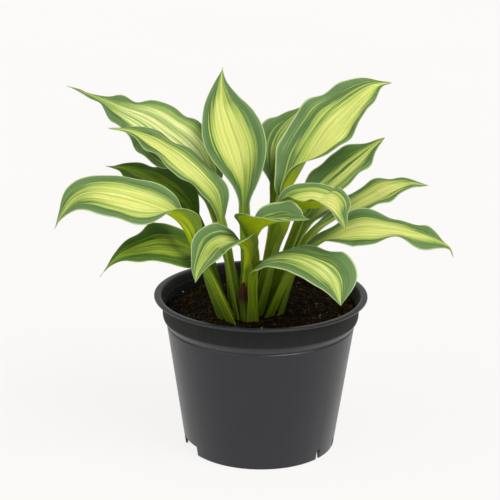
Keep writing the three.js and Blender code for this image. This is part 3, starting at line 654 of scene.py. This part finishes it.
def leaf_faces(leaf, stalk_rows=40, blade_rows=120, columns=49):
    """The leaf's upper and under faces as two grids of points, mm, with what its pattern needs."""
    curve, distances, knots = curve_through(leaf["path"])
    length, blade_start = distances[-1], knots[leaf["blade_at"]]
    s = np.r_[np.linspace(-BURIED, blade_start, stalk_rows, endpoint=False),
              np.linspace(blade_start, length, blade_rows)]

    def read(where):
        inside = np.clip(where, 0, length)
        found = np.stack([np.interp(inside, distances, curve[:, axis]) for axis in range(3)], 1)
        start = curve[1] - curve[0]
        start /= np.linalg.norm(start)
        return found + np.minimum(where, 0)[:, None] * start

    centre = read(s)
    tangent = read(s + DIRECTION_STEP) - read(s - DIRECTION_STEP)
    tangent /= np.linalg.norm(tangent, axis=1)[:, None]
    heading = math.radians(leaf["heading"])
    across = np.array([-math.sin(heading), math.cos(heading), 0.0])
    across = across - (tangent @ across)[:, None] * tangent
    across /= np.linalg.norm(across, axis=1)[:, None]
    normal = np.cross(tangent, across)
    t = (s - blade_start) / (length - blade_start)
    roll = np.radians(along_blade(leaf["roll"], t))[:, None]
    across, normal = (across * np.cos(roll) + normal * np.sin(roll),
                      normal * np.cos(roll) - across * np.sin(roll))

    inside = np.clip(t, 0, 1)
    rising = np.sin(np.pi / 2 * np.clip(inside / leaf["widest"], 0, 1)) ** leaf["base_round"]
    past = np.clip((inside - leaf["widest"]) / (1 - leaf["widest"]), 0, 1)
    falling = np.cos(np.pi / 2 * past) ** leaf["tip_draw"]
    outline = np.where(t <= 0, 0, np.where(inside < leaf["widest"], rising, falling))
    clasp = 1 + CLASP_WIDENING * np.clip(1 - s / (CLASP_REACH * blade_start), 0, 1)
    stalk = PETIOLE_HALF_WIDTH * np.where(t < 0, clasp, np.clip(1 - 3 * t, 0, 1))

    v = np.linspace(-1, 1, columns)[None, :]
    edge = np.abs(v)
    on_left = v > 0
    widest = leaf["width"] / 2 * np.where(on_left, *leaf["share"])
    half = np.maximum(np.hypot(widest * outline[:, None], stalk[:, None]), TIP_HALF_WIDTH)
    spread = smooth(t / OPENING + 1)
    fold, curl = {}, {}
    for side in ("left", "right"):
        opened = PETIOLE_FOLD + (along_blade(leaf[side], t) - PETIOLE_FOLD) * spread
        fold[side] = np.radians(opened)[:, None]
        bend = np.radians(along_blade(leaf[side + "_curl"], t) * spread)[:, None]
        curl[side] = np.where(np.abs(bend) < 0.002, 0.002, bend)  # never quite flat
    turn = np.where(on_left, fold["left"], fold["right"])
    bend = np.where(on_left, curl["left"], curl["right"])
    angle = turn + bend * edge
    sideways = half * (np.sin(angle) - np.sin(turn)) / bend
    height, count, start = leaf["wave"]
    phase = 2 * np.pi * (count * t[:, None] + start + np.where(on_left, 0, leaf["lag"]))
    ripple = np.sin(phase) + 0.4 * np.sin(1.7 * phase + 1.3)
    strength = (np.sqrt(inside) * np.clip((1 - t) * 4, 0, 1))[:, None]
    rise = (half * (np.cos(turn) - np.cos(angle)) / bend
            + height * strength * edge ** RIPPLE_REACH * ripple)

    # Shallow furrows over the veins, and broader swells that fade in and out along the blade.
    fade = strength * (1 - edge ** 4) * np.minimum(half / 12, 1)
    drift = leaf["seed"] + 1.3 * inside[:, None]
    swell = (np.cos(math.tau * (2.6 * v + drift))
             * np.sin(math.tau * (1.4 * inside[:, None] + drift)))
    furrow = np.cos(math.tau * VEINS * v)
    rise = rise + (SWELL_DEPTH * swell - FURROW_DEPTH * furrow) * fade
    upper = (centre[:, None] + (np.sign(v) * sideways)[..., None] * across[:, None]
             + rise[..., None] * normal[:, None])
    facing = (normal[:, None] * np.cos(angle)[..., None]
              - across[:, None] * (np.sign(v) * np.sin(angle))[..., None])
    facing[:, columns // 2] = normal
    keel = np.clip(1 - t * 4, 0, 1)[:, None]
    extra = PETIOLE_THICKNESS - BLADE_THICKNESS
    thick = BLADE_THICKNESS + extra * keel * (1 - 0.75 * edge ** 2)
    thick = thick + MIDRIB_DEPTH * np.exp(-(v / 0.07) ** 2) * np.clip(1 - t, 0, 1)[:, None]
    thick = np.minimum(thick, half * 0.8)
    under = upper - facing * thick[..., None]
    green = np.where(on_left, *leaf["margin"])
    cover = np.where(green < WIDE_MARGIN, MARGIN_SHARE, WIDE_SHARE)
    margin = np.minimum(green, cover * half)
    along = np.where(t < 0, t * (length - blade_start) / blade_start, t)
    places = {"along": along[:, None] + 0 * v, "across": v + 0 * t[:, None],
              "rim": (1 - edge) * half / margin}
    return upper, under, places


def make_leaf(leaf, material, **grid):
    leaf = {**HABIT, **leaf}
    upper, under, places = leaf_faces(leaf, **grid)
    rows, columns = upper.shape[:2]
    count = rows * columns
    points = np.vstack([upper.reshape(-1, 3), under.reshape(-1, 3)]) * MM
    index = np.arange(count).reshape(rows, columns)
    faces = [grid_faces(rows, columns), grid_faces(rows, columns, count, flip=True)]
    for loop, turned in ((index[:, 0], False), (index[:, -1], True),
                         (index[0], True), (index[-1], False)):
        side = np.stack([loop[:-1], loop[1:], loop[1:] + count, loop[:-1] + count], 1)
        faces.append(side[:, ::-1] if turned else side)
    piece = new_object(leaf["name"] + "_grown", points, np.vstack(faces), material)
    for name, values in places.items():
        set_attribute(piece, name, np.tile(values.ravel(), 2))
    set_attribute(piece, "under", np.repeat([0.0, 1.0], count))
    for name in ("seed", "shade", "striped"):
        set_attribute(piece, name, np.full(count * 2, leaf[name]))
    keep_edges_crisp(piece, count)
    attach(piece, "root")
    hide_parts(leaf["name"])
    return piece


def keep_edges_crisp(piece, count):
    """Marks the rim of each face sharp, so that the thin edge doesn't smear the shading."""
    mesh = piece.data
    pairs = np.empty(len(mesh.edges) * 2, np.int32)
    mesh.edges.foreach_get("vertices", pairs)
    pairs = pairs.reshape(-1, 2)
    crossing = (pairs[:, 0] < count) != (pairs[:, 1] < count)
    on_rim = np.zeros(len(mesh.vertices), bool)
    on_rim[pairs[crossing].ravel()] = True
    sharp = on_rim[pairs[:, 0]] & on_rim[pairs[:, 1]] & ~crossing
    attribute = mesh.attributes.new("sharp_edge", "BOOLEAN", "EDGE")
    attribute.data.foreach_set("value", sharp)


# ---------- pot


def body_radius(height):
    return FOOT_RADIUS + (CREASE_RADIUS - FOOT_RADIUS) * height / CREASE_HEIGHT


def rounded(profile):
    """Replaces each corner that has a rounding with a short arc of five points."""
    result = []
    for index, (radius, height, *rounding) in enumerate(profile):
        if not rounding:
            result.append((radius, height))
            continue
        corner = np.array([radius, height])
        ends = []
        for neighbour in (profile[index - 1], profile[index + 1]):
            side = np.array(neighbour[:2]) - corner
            length = np.linalg.norm(side)
            ends.append(corner + side / length * min(rounding[0], length / 2))
        for t in np.linspace(0, 1, 5):
            result.append((1 - t) ** 2 * ends[0] + 2 * t * (1 - t) * corner + t * t * ends[1])
    return np.array(result)


def pot_profile():
    """Radius, height and rounding, from the middle of the underside to the middle of the floor."""
    lip_under = POT_HEIGHT - LIP_THICKNESS
    lip_inner = RIM_RADIUS - LIP_WIDTH
    collar_inner = COLLAR_RADIUS - WALL
    channel_top = CHANNEL_LIFT + WALL
    return rounded([
        (0, 0),
        (PAD_RADIUS, 0, 0.8),
        (PAD_RADIUS + 4, CHANNEL_LIFT, 0.8),
        (FOOT_RADIUS - WALL - 0.5, CHANNEL_LIFT, 0.5),
        (FOOT_RADIUS - WALL, 0, 0.4),
        (FOOT_RADIUS, 0, 1.0),
        (CREASE_RADIUS, CREASE_HEIGHT - 0.9, 0.2),
        (CREASE_RADIUS - 0.6, CREASE_HEIGHT - 0.2, 0.2),
        (CREASE_RADIUS - 0.1, CREASE_HEIGHT + 0.8, 0.5),
        (COLLAR_RADIUS - 0.3, COLLAR_FOOT + 0.6, 3.2),
        (COLLAR_RADIUS + 0.1, lip_under, 0.6),
        (RIM_RADIUS, lip_under, 0.9),
        (RIM_RADIUS, POT_HEIGHT, 0.9),
        (lip_inner, POT_HEIGHT, 1.4),
        (collar_inner + 0.4, POT_HEIGHT - 3.6, 2.0),
        (collar_inner, LEDGE_HEIGHT, 0.3),
        (collar_inner - LEDGE_STEP, LEDGE_HEIGHT - LEDGE_STEP, 0.3),
        (collar_inner - LEDGE_STEP, COLLAR_FOOT, 2.0),
        (CREASE_RADIUS - WALL - 0.6, CREASE_HEIGHT - 0.8, 2.0),
        (body_radius(channel_top) - WALL, channel_top, 0.8),
        (PAD_RADIUS + 4.6, channel_top, 0.8),
        (PAD_RADIUS + 0.6, WALL, 0.8),
        (0, WALL),
    ])


def slot_cutter(angle, width):
    """A block standing across the foot of the wall at an angle from the front."""
    turn = math.radians(angle)
    side = np.array([math.cos(turn), math.sin(turn), 0]) * width / 2
    out = np.array([math.sin(turn), -math.cos(turn), 0])
    far, near = out * (FOOT_RADIUS + 3), out * (FOOT_RADIUS + 3 - SLOT_DEPTH)
    corners = []
    for height in (-1.0, SLOT_HEIGHT):
        for centre, sign in ((near, 1), (near, -1), (far, -1), (far, 1)):
            corners.append((centre + sign * side + [0, 0, height]) * MM)
    faces = [[3, 2, 1, 0], [4, 5, 6, 7], [0, 1, 5, 4], [1, 2, 6, 5], [2, 3, 7, 6], [3, 0, 4, 7]]
    return new_object("slot_cutter", corners, faces, BLACK_PLASTIC, flat=True)


def settle(piece):
    """Applies a piece's modifiers to a plain mesh."""
    graph = bpy.context.evaluated_depsgraph_get()
    mesh = bpy.data.meshes.new_from_object(piece.evaluated_get(graph))
    piece.modifiers.clear()
    piece.data = mesh


def make_pot():
    profile = pot_profile()
    points = rings(profile[1:-1, 0], profile[1:-1, 1], 160)
    poles = [[0, 0, profile[0, 1]], [0, 0, profile[-1, 1]]]
    pot = closed_solid("pot_moulded", points, 160, poles, BLACK_PLASTIC, flip=True)
    cutters = [slot_cutter(angle + side, width) for angle, width in SLOTS for side in (0, 180)]
    for cutter in cutters:
        cut = pot.modifiers.new("slot", "BOOLEAN")
        cut.operation = "DIFFERENCE"
        cut.solver = "EXACT"
        cut.object = cutter
    settle(pot)
    for cutter in cutters:
        bpy.data.objects.remove(cutter)
    pot.data.shade_smooth()
    pot.data.set_sharp_from_angle(angle=math.radians(40))
    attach(pot, "root")
    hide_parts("pot")


# ---------- potting mix


def cloud(points, scale, seed, waves=14):
    """Smooth random heights from a few sine waves, about -1 to 1."""
    rng = np.random.default_rng(seed)
    total = np.zeros(len(points))
    for _ in range(waves):
        wave = rng.normal(size=2) * scale
        total += np.sin(points @ wave + rng.uniform(0, math.tau))
    return total / waves ** 0.5 / 1.4


def soil_height(flat, *grain):
    """The height of the soil: swells and hollows, lower near the wall, and any finer grain."""
    height = SOIL_HEIGHT + 1.0 * cloud(flat, 0.12, 1) + 0.7 * cloud(flat, 0.35, 2)
    for depth, scale, seed in grain:
        height += depth * cloud(flat, scale, seed)
    return height - 1.5 * smooth((np.linalg.norm(flat, axis=1) - 60) / 16)


def make_potting_mix():
    """The whole body of the mix, with a lumpy top."""
    def wall(height):
        return body_radius(height) - WALL - MIX_GAP

    top_radius = COLLAR_RADIUS - WALL - LEDGE_STEP - MIX_GAP
    channel = CHANNEL_LIFT + WALL + MIX_GAP
    segments = 300
    radii = np.linspace(0, 1, 110)[1:] * top_radius
    surface = rings(radii, np.zeros(len(radii)), segments)
    surface[:, 2] = soil_height(surface[:, :2], (0.45, 0.9, 3), (0.3, 2.0, 4))
    radii, heights = zip(
        (top_radius, COLLAR_FOOT), (wall(CREASE_HEIGHT - 1), CREASE_HEIGHT - 1),
        (wall(channel), channel), (PAD_RADIUS + 4.3, channel), (PAD_RADIUS, WALL + MIX_GAP))
    points = np.vstack([surface, rings(radii, heights, segments)])
    poles = [[0, 0, SOIL_HEIGHT], [0, 0, WALL + MIX_GAP]]
    mix = closed_solid("potting_mix_body", points, segments, poles, PEAT)
    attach(mix, "root")
    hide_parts("potting_mix")


def scatter_tree():
    """Geometry nodes that strew lumpy bits over a surface: named sizes, a seed, real meshes out."""
    tree, graph, given, result = new_group(
        "strew_bits",
        {"Geometry": "Geometry", "Per Square Metre": 1000.0, "Smallest": 0.001, "Largest": 0.003,
         "Flatness": 0.7, "Length": 1.0, "Patchiness": 0.0, "Seed": 0, "Material": "Material"},
        ("Geometry", "Geometry"), "GeometryNodeTree")
    patches = graph.add("ShaderNodeTexNoise", {"Scale": 45.0, "Detail": 1.0})
    patch = graph.add("ShaderNodeMapRange", {"Value": patches.outputs["Fac"], "From Min": 0.52,
                                            "From Max": 0.60})
    share = graph.add("ShaderNodeMix", data_type="FLOAT")
    graph.put(share.inputs[0], given["Patchiness"])
    share.inputs[2].default_value = 1.0
    graph.put(share.inputs[3], patch.outputs["Result"])
    density = graph.times(share.outputs[0], given["Per Square Metre"])
    spread = graph.add("GeometryNodeDistributePointsOnFaces", {
        "Mesh": given["Geometry"], "Density": density, "Seed": given["Seed"]})
    lump = graph.add("GeometryNodeMeshIcoSphere", {"Radius": 0.5, "Subdivisions": 1})
    jitter = graph.add("ShaderNodeTexNoise", {"Scale": 2.3, "Detail": 2.0})
    push = graph.add("ShaderNodeVectorMath", operation="SCALE")
    away = graph.add("GeometryNodeInputPosition")
    graph.put(push.inputs[0], away.outputs[0])
    uneven = graph.times(graph.minus(jitter.outputs["Fac"], 0.5), 1.8)
    graph.put(push.inputs["Scale"], uneven)
    rough_lump = graph.add("GeometryNodeSetPosition", {"Geometry": lump.outputs["Mesh"]})
    graph.put(rough_lump.inputs["Offset"], push.outputs[0])
    size = graph.add("FunctionNodeRandomValue", data_type="FLOAT")
    graph.put(size.inputs["Seed"], given["Seed"])
    size.inputs[2].default_value = 0.0
    size.inputs[3].default_value = 1.0
    bias = graph.math("POWER", size.outputs[1], 2.2)
    span = graph.minus(given["Largest"], given["Smallest"])
    scale = graph.plus(given["Smallest"], graph.times(span, bias))
    shape = graph.vector(graph.times(scale, given["Length"]), scale,
                         graph.times(scale, given["Flatness"]))
    turn = graph.add("FunctionNodeRandomValue", data_type="FLOAT_VECTOR")
    turn.inputs[0].default_value = (-0.6, -0.6, 0.0)
    turn.inputs[1].default_value = (0.6, 0.6, math.tau)
    graph.put(turn.inputs["Seed"], graph.add("FunctionNodeInputInt", integer=7).outputs[0])
    place = graph.add("GeometryNodeInstanceOnPoints", {
        "Points": spread.outputs["Points"], "Instance": rough_lump.outputs["Geometry"],
        "Rotation": turn.outputs[0], "Scale": shape})
    real = graph.add("GeometryNodeRealizeInstances", {"Geometry": place.outputs["Instances"]})
    shaded = graph.add("GeometryNodeSetShadeSmooth", {
        "Geometry": real.outputs["Geometry"], "Shade Smooth": False})
    painted = graph.add("GeometryNodeSetMaterial", {
        "Geometry": shaded.outputs["Geometry"], "Material": given["Material"]})
    graph.put(result, painted.outputs["Geometry"])
    return tree


def strew(name, tree, material, **values):
    """Bits strewn over the soil as one plain mesh."""
    rows, segments = 40, 120
    points = rings(np.linspace(1.0, COLLAR_RADIUS - WALL - 3.0, rows), np.zeros(rows), segments)
    points[:, 2] = soil_height(points[:, :2])
    piece = new_object(name, points * MM, grid_faces(rows, segments, closed=True), PEAT)
    modifier = piece.modifiers.new("strew", "NODES")
    modifier.node_group = tree
    values["Material"] = material
    for item in tree.interface.items_tree:
        label = item.name.replace(" ", "_")
        if item.in_out == "INPUT" and label in values:
            modifier[item.identifier] = values[label]
    piece.update_tag()
    settle(piece)
    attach(piece, "root")


# ---------- the plant

for leaf in LEAVES:
    grown = make_leaf(leaf, LEAF)

sheath = make_leaf(SHEATH, SCALE, stalk_rows=6, blade_rows=40, columns=17)

make_pot()
make_potting_mix()

CROWN_CENTRE = (-8.0, -14.0)
CROWN_SIZE = (33, 31)  # half its length and half its width


def make_crown():
    """The low rhizome mound that the stalks rise from, mostly under crumbs."""
    rows, segments = 30, 96
    flat = rings(np.linspace(0.02, 1, rows), np.zeros(rows), segments)[:, :2] * CROWN_SIZE
    share = np.repeat(np.linspace(0.02, 1, rows), segments)
    bumps = 0.8 * cloud(flat, 0.5, 21) * (1 - share ** 6)
    upper = SOIL_HEIGHT + 0.6 * (1 - share ** 2) + bumps - 5.0 * share ** 8
    lower = SOIL_HEIGHT - 6 - 12 * np.sqrt(1 - share ** 2 * 0.98)
    top = np.column_stack([flat + CROWN_CENTRE, upper])
    below = np.column_stack([flat * 0.8 + CROWN_CENTRE, lower])[::-1]
    below = below.reshape(rows, segments, 3)[:, ::-1].reshape(-1, 3)
    faces = grid_faces(2 * rows, segments, closed=True).tolist()
    faces.append(list(range(segments)))
    faces.append(list(range((2 * rows - 1) * segments, 2 * rows * segments))[::-1])
    return new_object("crown_rhizome", np.vstack([top, below]) * MM, faces, CRUMB)


crown = make_crown()
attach(crown, "root")
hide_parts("crown")

bits = scatter_tree()
strew("peat_crumbs_fine", bits, PEAT, Per_Square_Metre=170000.0, Smallest=0.0005,
      Largest=0.0022, Seed=3)
strew("peat_crumbs_coarse", bits, CRUMB, Per_Square_Metre=34000.0, Smallest=0.0012,
      Largest=0.0042, Seed=5)
strew("bark_bits", bits, BARK, Per_Square_Metre=3500.0, Smallest=0.0010, Largest=0.0040,
      Flatness=0.35, Length=1.7, Seed=8)
strew("root_fibres", bits, BARK, Per_Square_Metre=9000.0, Smallest=0.0006, Largest=0.0016,
      Flatness=0.4, Length=5.0, Seed=9)
strew("white_grains", bits, GRIT, Per_Square_Metre=1500.0, Smallest=0.0006, Largest=0.0022,
      Seed=11)
strew("moss_tufts", bits, MOSS, Per_Square_Metre=50000.0, Smallest=0.0005, Largest=0.0016,
      Patchiness=1.0, Flatness=0.6, Seed=14)

# ---------- stage, lights and camera

CAMERA_PLACE = (0.0, -1.2955, 0.5765)  # metres
CAMERA_TURN = (72.256, -0.438, 0.534)  # degrees
CAMERA_LENS = 123.9
ROOM_LIGHT = 0.45
FLOOR_GLOW = 0.858
FLOOR_REACH = 3.2  # metres, as are the other three
FLOOR_BEND = 0.8
FLOOR_WALL = 1.1
FLOOR_DROP = 0.0002  # below the pot's foot, so that the two never share a face


def make_floor():
    """A pale seamless sheet that turns up all round and glows faintly, so that it stays even."""
    material, graph, shader = new_material("pale_floor", Roughness=1.0, Specular_IOR_Level=0.0)
    tone = graph.noise(object_place(graph), 3.0, 2.0)
    pale, paler = (0.085, 0.083, 0.08, 1), (0.095, 0.093, 0.09, 1)
    graph.put(shader.inputs["Base Color"], graph.mix(tone, pale, paler))
    shader.inputs["Emission Color"].default_value = (1.0, 0.99, 0.975, 1)
    shader.inputs["Emission Strength"].default_value = FLOOR_GLOW
    bend = np.radians(np.linspace(0, 90, 13))
    radii = np.r_[0.5, 1.5, FLOOR_REACH, FLOOR_REACH + FLOOR_BEND * np.sin(bend),
                  FLOOR_REACH + FLOOR_BEND]
    heights = np.r_[0, 0, 0, FLOOR_BEND * (1 - np.cos(bend)), FLOOR_WALL] - FLOOR_DROP
    points = rings(radii, heights, 96)
    faces = [list(range(96)), *grid_faces(len(radii), 96, closed=True).tolist()]
    new_object("floor", points, faces, material)


def soft_sun(name, towards, spread, strength, colour):
    """Even light from one side of the room, softened by its spread in degrees."""
    lamp = bpy.data.lights.new(name, "SUN")
    lamp.angle = math.radians(spread)
    lamp.energy = strength
    lamp.color = colour
    holder = put_in_scene(name, lamp)
    holder.location = towards
    x, y, z = towards
    holder.rotation_euler = (math.atan2(math.hypot(x, y), z), 0, math.atan2(y, x) + math.pi / 2)


make_floor()
soft_sun("softbox_right", (0.45, -0.45, 0.9), 35, 2.1, (1.0, 0.99, 0.96))
soft_sun("softbox_left", (-0.7, -0.5, 0.7), 60, 0.9, (0.98, 0.99, 1.0))

world = bpy.data.worlds.new("studio")
world.use_nodes = True
room = world.node_tree.nodes["Background"]
room.inputs["Color"].default_value = (1.0, 0.995, 0.985, 1)
room.inputs["Strength"].default_value = ROOM_LIGHT
bpy.context.scene.world = world
bpy.context.scene.view_settings.view_transform = "Standard"

camera_data = bpy.data.cameras.new("camera")
camera_data.sensor_width = 36.0
camera_data.lens = CAMERA_LENS
camera = put_in_scene("camera", camera_data)
camera.location = CAMERA_PLACE
camera.rotation_euler = np.radians(CAMERA_TURN)
bpy.context.scene.camera = camera
